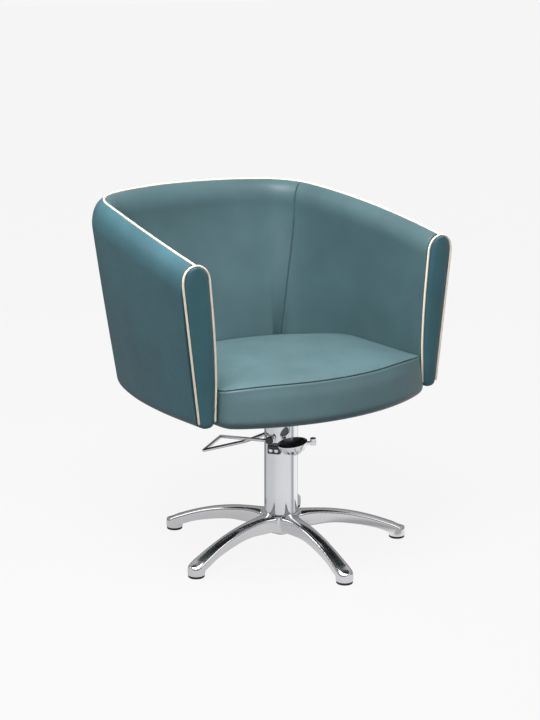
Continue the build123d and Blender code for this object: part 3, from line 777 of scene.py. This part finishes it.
def arm_front(name, mirror):
    """Padded front of an arm, crowned between its piping."""
    ring = arm_ring(2.0, 600)
    low, top = ring[:, 1].min() + 0.15, ring[:, 1].max() - 0.15
    heights = list(low + 9 * (1 - np.cos(np.linspace(0, math.pi / 2, 7))))
    heights += list(np.linspace(heights[-1], top - 34, 34))[1:]
    heights += list(top - 34 + 34 * np.sin(np.linspace(0, math.pi / 2, 16)))[1:]
    inner, outer = arm_edges(np.array(heights))
    back_y = CREST_Y - 1.2
    edge_y = ARM_FACE_Y + 4.8
    loops = []
    for z, left, right in zip(heights, inner, outer):
        if abs(right - left) < 0.6:
            left, right = (left + right) / 2 - 0.3, (left + right) / 2 + 0.3
        across = np.sin(np.linspace(-math.pi / 2, math.pi / 2, 21))
        fullness = min(1.0, (right - left) / 20, (z - low + 0.5) / 8)
        dome = (1 - np.abs(across) ** 2.4) ** 0.55 * 6.2 * math.sqrt(fullness)
        x = (left + right) / 2 + (right - left) / 2 * across
        front = np.c_[x, edge_y - dome]
        rear = np.array([(right, (edge_y + back_y) / 2), (right, back_y), ((left + right) / 2, back_y),
                         (left, back_y), (left, (edge_y + back_y) / 2)])
        plan = np.vstack([front, rear])
        loops.append(np.c_[plan, np.full(len(plan), z)])
    loops = [loop * ((-1, 1, 1) if mirror else (1, 1, 1)) for loop in loops]
    panel = tube_of_loops(name, loops)
    points = coords(panel) / MM
    pinned = [i for i, p in enumerate(points) if p[1] > edge_y - 1.0]
    inflate(panel, pinned, 1.2, 2.5, 12)
    subdivide(panel)
    return panel


# ---------------------------------------------------------------- piping
def tube_along(name, path, radius, sides=14):
    """Round tube along a path of millimetre points, with domed ends."""
    path = np.array(path, float)
    tangent = np.gradient(path, axis=0)
    tangent = tangent / np.linalg.norm(tangent, axis=1, keepdims=True)
    up = np.array([0.0, 1.0, 0.0]) if abs(tangent[0][1]) < 0.9 else np.array([1.0, 0.0, 0.0])
    loops = []
    normal = np.cross(tangent[0], up)
    for point, along in zip(path, tangent):
        normal = normal - along * np.dot(normal, along)
        normal = normal / np.linalg.norm(normal)
        other = np.cross(along, normal)
        angles = np.linspace(0, 2 * math.pi, sides, endpoint=False)
        ring = point + radius * (np.cos(angles)[:, None] * normal + np.sin(angles)[:, None] * other)
        loops.append(ring)
    dome = ((0.8, 0.5), (0.45, 0.8))
    first = [path[0] + (loops[0] - path[0]) * s - tangent[0] * radius * d for s, d in dome[::-1]]
    last = [path[-1] + (loops[-1] - path[-1]) * s + tangent[-1] * radius * d for s, d in dome]
    return tube_of_loops(name, first + loops + last)


def rim_piping():
    """Piping on the crest from arm front to arm front."""
    path = []
    for place in np.linspace(-6, 2 * HALF + 6, 300):
        (x, y), _, top, _, _ = station(min(max(place, 0), 2 * HALF))
        extra = min(place, 0) if place < HALF else min(2 * HALF - place, 0)
        path.append((x, y + extra, top - 0.6 + extra * 0.25))
    piping = tube_along("piping_rim", path, PIPING_R)
    subdivide(piping)
    return piping


def arm_piping(name, mirror):
    """Piping round an arm front, open at the foot."""
    ring = arm_ring(-0.4, 260)
    start = int(np.argmin(np.abs(ring[:, 1] - (ARM_BASE_Z + 12)) + (ring[:, 0] < 290) * 500))
    ring = np.roll(ring, -start, axis=0)
    keep = ring[ring[:, 1] > ARM_BASE_Z + 11.5]
    side = -1 if mirror else 1
    path = [(side * x, ARM_FACE_Y + 3.6, z) for x, z in keep]
    piping = tube_along(name, path, PIPING_R - 0.1)
    subdivide(piping)
    return piping


# ---------------------------------------------------------------- star base
LEG_COUNT = 5
FIRST_LEG = 264.1
LEG_R = (30, 62, 112, 160, 208, 250, 278)
LEG_TOP = (78.6, 78.4, 74.8, 66, 52, 36.0, 25.0)
LEG_BASE = (42, 42.5, 45.5, 39, 27, 11.5, 8.5)
LEG_HALF = (24, 16.2, 14.6, 14.6, 15.4, 17.6, 18.2)
FOOT_CIRCLE_R = 260.0
BOSS_R = 18.3
BORE_R = 30.2
HUB_R = 42.0


def leg_loop(r):
    """Rounded section of a leg at a radius: crowned top, soft shoulders, sides drawn in below."""
    top = smooth_rows(LEG_R, LEG_TOP, r)
    base = smooth_rows(LEG_R, LEG_BASE, r)
    half = smooth_rows(LEG_R, LEG_HALF, r)
    shoulder = top - half * 0.50
    if r > FOOT_CIRCLE_R:
        half = min(half, math.sqrt(max(BOSS_R ** 2 - (r - FOOT_CIRCLE_R) ** 2, 4)))
    over = np.linspace(math.pi, 0, 17)
    crown = np.c_[half * np.sign(np.cos(over)) * np.abs(np.cos(over)) ** 0.80,
                  shoulder + (top - shoulder) * np.sin(over) ** 0.85]
    under = [(half * 0.96, shoulder * 0.6 + base * 0.4), (half * 0.84, base + 1.2), (half * 0.70, base),
             (0.0, base + 1.5),
             (-half * 0.70, base), (-half * 0.84, base + 1.2), (-half * 0.96, shoulder * 0.6 + base * 0.4)]
    return [(r, y, z) for y, z in np.vstack([crown, under])]


def raw_solid(loops, closed):
    """Points and faces of loops in a row, closed on itself or capped."""
    count = len(loops[0])
    verts = [tuple(p) for loop in loops for p in loop]
    faces = []
    rows = len(loops)
    for i in range(rows if closed else rows - 1):
        j = (i + 1) % rows
        for k in range(count):
            n = (k + 1) % count
            faces.append((i * count + k, i * count + n, j * count + n, j * count + k))
    if not closed:
        faces.append(tuple(range(count)))
        faces.append(tuple((rows - 1) * count + k for k in reversed(range(count))))
    return verts, faces


def star_base():
    """Cast base in one skin: hub ring, five arched legs and five bosses, blended by remeshing."""
    solids = []
    around = np.linspace(0, 2 * math.pi, 72, endpoint=False)
    ring = [(BORE_R, 46), (BORE_R, 78.8), (33, 79.3), (HUB_R - 3, 79.3), (HUB_R, 77.5), (HUB_R + 0.5, 60),
            (HUB_R, 42), (HUB_R - 5, 37.5), (BORE_R + 3, 37.5), (BORE_R, 40)]
    solids.append(raw_solid([[(r * math.cos(a), r * math.sin(a), z) for r, z in ring] for a in around], True))
    reach = list(np.linspace(LEG_R[0] + 1.5, 266, 60)) + [269, 272, 274.5, 276.5, 277.8]
    leg = [leg_loop(r) for r in reach]
    boss = []
    for radius, z in ((BOSS_R - 1, 4.2), (BOSS_R, 5.2), (BOSS_R, 15), (BOSS_R - 0.5, 18), (BOSS_R - 3, 20)):
        boss.append([(FOOT_CIRCLE_R + radius * math.cos(a), radius * math.sin(a), z) for a in around[::2]])
    for number in range(LEG_COUNT):
        turn = math.radians(FIRST_LEG + 72 * number)
        for loops in (leg, boss):
            turned = [[(x * math.cos(turn) - y * math.sin(turn), x * math.sin(turn) + y * math.cos(turn), z)
                       for x, y, z in loop] for loop in loops]
            solids.append(raw_solid(turned, False))
    verts, faces = [], []
    for part_verts, part_faces in solids:
        first = len(verts)
        verts += part_verts
        faces += [tuple(first + k for k in face) for face in part_faces]
    base = outward(make_mesh("star_casting", verts, faces))
    remesh = base.modifiers.new("one_skin", "REMESH")
    remesh.mode = "VOXEL"
    remesh.voxel_size = 1.5 * MM
    soften = base.modifiers.new("fillets", "SMOOTH")
    soften.factor = 0.5
    soften.iterations = 12
    bake_modifiers(base)
    return base


# ---------------------------------------------------------------- stitching
def spaced(path, step):
    """Pairs of point and direction every step along a path."""
    path = np.array(path, float)
    steps = np.r_[0, np.cumsum(np.linalg.norm(np.diff(path, axis=0), axis=1))]
    at = np.arange(step, steps[-1] - step, step)
    points = np.stack([np.interp(at, steps, path[:, k]) for k in range(3)], 1)
    ahead = np.stack([np.interp(at + 0.5, steps, path[:, k]) for k in range(3)], 1)
    along = ahead - points
    return points, along / np.linalg.norm(along, axis=1, keepdims=True)


# place along one stitch and thickness there, both as shares
THREAD_SECTIONS = ((-0.5, 0.25), (-0.42, 0.8), (-0.2, 1.0), (0.2, 1.0), (0.42, 0.8), (0.5, 0.25))


def stitch_row(name, paths, step=5.2, length=3.4, radius=0.42):
    """One piece made of short rounded threads along some paths."""
    verts = []
    faces = []
    for path in paths:
        for point, along in zip(*spaced(path, step)):
            side = np.cross(along, (0.3, 0.2, 0.93))
            side = side / np.linalg.norm(side)
            other = np.cross(along, side)
            first = len(verts)
            for reach, share in THREAD_SECTIONS:
                for k in range(6):
                    a = k * math.pi / 3
                    round_ = radius * share * (math.cos(a) * side + math.sin(a) * other)
                    verts.append(point + along * length * reach + round_)
            for row in range(5):
                for k in range(6):
                    n = (k + 1) % 6
                    base = first + row * 6
                    faces.append((base + k, base + n, base + 6 + n, base + 6 + k))
            faces.append(tuple(first + k for k in reversed(range(6))))
            faces.append(tuple(first + 30 + k for k in range(6)))
    return make_mesh(name, verts, faces)


def corner_stitches():
    """Top stitching beside both inner corner seams."""
    paths = []
    for seam in (INNER_SEAM, 2 * HALF - INNER_SEAM):
        for beside in (-3.4, 3.4):
            face = pad_profile(seam + beside)[5:39]
            face[:, 0] -= 0.1
            paths.append(lift(seam + beside, face))
    return stitch_row("stitches_corner", paths)


def thread():
    """Waxed sewing thread, twisted."""
    material, tree, shader = new_material("thread_teal")
    where = object_coords(tree)
    twist = add(tree, "ShaderNodeTexWave", [("Vector", where), ("Scale", 900.0)], bands_direction="DIAGONAL")
    tree.links.new(blend_colours(tree, twist.outputs["Fac"], (0.030, 0.070, 0.082), (0.075, 0.150, 0.170)),
                   shader.inputs["Base Color"])
    shader.inputs["Roughness"].default_value = 0.6
    tree.links.new(bump(tree, twist.outputs["Fac"], 0.0002, 0.5), shader.inputs["Normal"])
    return material


# ---------------------------------------------------------------- build the soft pieces
def build_upholstery():
    """Makes every upholstered piece and lets it ride on the seat body."""
    finish_piece(outer_shell(), "seat", MATERIALS["shell_vinyl"], ["outer_shell"])
    finish_piece(inner_pad("back_pad_cover", INNER_SEAM, 2 * HALF - INNER_SEAM, 6.0), "seat",
                 MATERIALS["inner_vinyl"], ["back_pad"])
    finish_piece(inner_pad("arm_pad_cover_right", 0.0, INNER_SEAM, 4.0), "seat",
                 MATERIALS["inner_vinyl"], ["arm_pad_right"])
    finish_piece(inner_pad("arm_pad_cover_left", 2 * HALF - INNER_SEAM, 2 * HALF, 4.0), "seat",
                 MATERIALS["inner_vinyl"], ["arm_pad_left"])
    finish_piece(seat_cushion(), "seat", MATERIALS["seat_vinyl"], ["seat_cushion"])
    for side, mirror in (("right", False), ("left", True)):
        finish_piece(arm_front("arm_front_cover_" + side, mirror), "seat",
                     MATERIALS["shell_vinyl"], ["arm_front_" + side])
        finish_piece(arm_piping("piping_arm_" + side, mirror), "seat",
                     MATERIALS["cream_piping"], ["arm_piping_" + side])
    finish_piece(rim_piping(), "seat", MATERIALS["cream_piping"], ["rim_piping"])
    finish_piece(corner_stitches(), "seat", thread())


def dress_cad_nodes():
    """Gives every CAD node that still shows the material of its slot."""
    slots = {row["node"]: row["material_slot"] for row in frame["record"]["subparts"]}
    for name, node in NODES.items():
        if node.hide_render:
            continue
        material = MATERIALS[slots[name]]
        if not node.material_slots:
            node.data.materials.append(material)
        for material_slot in node.material_slots:
            material_slot.material = material


# ---------------------------------------------------------------- studio
def stage_floor():
    """Floor that differs by kind of ray: an even pale glow with almost no contact shadow for the
    camera, the grey PANELS with painted shade near the chair for reflections in shiny surfaces, dull grey for
    bounced light."""
    mesh = bpy.data.meshes.new("floor")
    corners = [(x * FLOOR_HALF, y * FLOOR_HALF, FLOOR_Z) for x, y in ((-1, -1), (1, -1), (1, 1), (-1, 1))]
    mesh.from_pydata(corners, [], [(0, 1, 2, 3)])
    floor = bpy.data.objects.new("floor", mesh)
    bpy.context.scene.collection.objects.link(floor)
    material = bpy.data.materials.new("floor_paint")
    material.use_nodes = True
    tree = material.node_tree
    tree.nodes.clear()
    out = tree.nodes.new("ShaderNodeOutputMaterial")
    where = add(tree, "ShaderNodeTexCoord")
    parts = add(tree, "ShaderNodeSeparateXYZ", [("Vector", where.outputs["Object"])])
    angle = add(tree, "ShaderNodeMath", [(0, parts.outputs["Y"]), (1, parts.outputs["X"])],
                operation="ARCTAN2")
    turn = span(tree, angle.outputs[0], 0.0, 1.0, -math.pi, math.pi)
    ramp = add(tree, "ShaderNodeValToRGB", [("Fac", turn)])
    stops = ramp.color_ramp.elements
    for degrees, grey in PANELS:
        place = (degrees + 180) / 360
        stop = stops[0] if degrees == -180 else stops[-1] if degrees == 180 else stops.new(place)
        stop.position = place
        stop.color = (grey, grey, grey * 1.01, 1)
    bounce = add(tree, "ShaderNodeBsdfDiffuse", [("Color", (FLOOR_BOUNCE, FLOOR_BOUNCE, FLOOR_BOUNCE, 1))])
    flat = add(tree, "ShaderNodeCombineXYZ", [("X", parts.outputs["X"]), ("Y", parts.outputs["Y"])])
    reach = add(tree, "ShaderNodeVectorMath", [(0, flat.outputs[0])], operation="LENGTH")
    # painted shade: the floor that shiny surfaces see glows less near the chair, 0.92 within 0.1 m of the
    # column axis, rising to 1.10 beyond 0.4 m
    near = span(tree, reach.outputs["Value"], 0.92, 1.10, 0.10, 0.40)
    panels = add(tree, "ShaderNodeEmission", [("Color", ramp.outputs["Color"]), ("Strength", near)])
    shade = add(tree, "ShaderNodeBsdfDiffuse", [("Color", (FLOOR_SHADE, FLOOR_SHADE, FLOOR_SHADE, 1))])
    glow = add(tree, "ShaderNodeEmission", [("Color", (1, 1, 1, 1)), ("Strength", FLOOR_GLOW)])
    seen = add(tree, "ShaderNodeAddShader")
    tree.links.new(shade.outputs[0], seen.inputs[0])
    tree.links.new(glow.outputs[0], seen.inputs[1])
    ray = add(tree, "ShaderNodeLightPath")
    gloss = add(tree, "ShaderNodeMixShader", [("Fac", ray.outputs["Is Glossy Ray"])])
    tree.links.new(bounce.outputs[0], gloss.inputs[1])
    tree.links.new(panels.outputs[0], gloss.inputs[2])
    mix = add(tree, "ShaderNodeMixShader", [("Fac", ray.outputs["Is Camera Ray"])])
    tree.links.new(gloss.outputs[0], mix.inputs[1])
    tree.links.new(seen.outputs[0], mix.inputs[2])
    tree.links.new(mix.outputs[0], out.inputs["Surface"])
    mesh.materials.append(material)


def area_light(name, place, size, power):
    """Soft box aimed at the middle of the chair."""
    light = bpy.data.lights.new(name, "AREA")
    light.shape = "RECTANGLE"
    light.size, light.size_y = size
    light.energy = power
    lamp = bpy.data.objects.new(name, light)
    lamp.location = place
    lamp.rotation_euler = (Vector((0, 0, 0.5)) - Vector(place)).to_track_quat("-Z", "Y").to_euler()
    bpy.context.scene.collection.objects.link(lamp)


def studio():
    """World light that grows with height, an even backdrop for the camera, and soft boxes."""
    world = bpy.data.worlds.new("studio")
    bpy.context.scene.world = world
    world.use_nodes = True
    tree = world.node_tree
    tree.nodes.clear()
    out = tree.nodes.new("ShaderNodeOutputWorld")
    where = add(tree, "ShaderNodeTexCoord")
    parts = add(tree, "ShaderNodeSeparateXYZ", [("Vector", where.outputs["Generated"])])
    height = span(tree, parts.outputs["Z"], WORLD_LOW, WORLD_HIGH, -0.1, 0.9)
    around = add(tree, "ShaderNodeBackground", [("Color", (1, 1, 1, 1)), ("Strength", height)])
    seen = add(tree, "ShaderNodeBackground", [("Color", (1, 1, 1, 1)), ("Strength", BACKDROP_GLOW)])
    ray = add(tree, "ShaderNodeLightPath")
    mix = add(tree, "ShaderNodeMixShader", [("Fac", ray.outputs["Is Camera Ray"])])
    tree.links.new(around.outputs[0], mix.inputs[1])
    tree.links.new(seen.outputs[0], mix.inputs[2])
    tree.links.new(mix.outputs[0], out.inputs["Surface"])
    area_light("top_box", (-0.75, -0.5, 2.35), (1.2, 1.2), 84)
    area_light("front_box", (1.6, -2.6, 1.9), (1.2, 1.6), 8)
    area_light("rim_box", (-1.6, 1.9, 1.9), (0.6, 1.8), 10)


def camera():
    """Camera at the viewing angle of the reference."""
    data = bpy.data.cameras.new("view")
    data.lens = LENS
    data.sensor_width = 36
    view = bpy.data.objects.new("view", data)
    view.location = CAMERA_PLACE
    view.rotation_euler = Vector(CAMERA_AIM).to_track_quat("-Z", "Y").to_euler()
    bpy.context.scene.collection.objects.link(view)
    bpy.context.scene.camera = view


build_upholstery()
finish_piece(star_base(), "base", MATERIALS["polished_aluminium"], ["star_base"])
dress_cad_nodes()
stage_floor()
studio()
camera()
bpy.context.scene.view_settings.view_transform = "Standard"
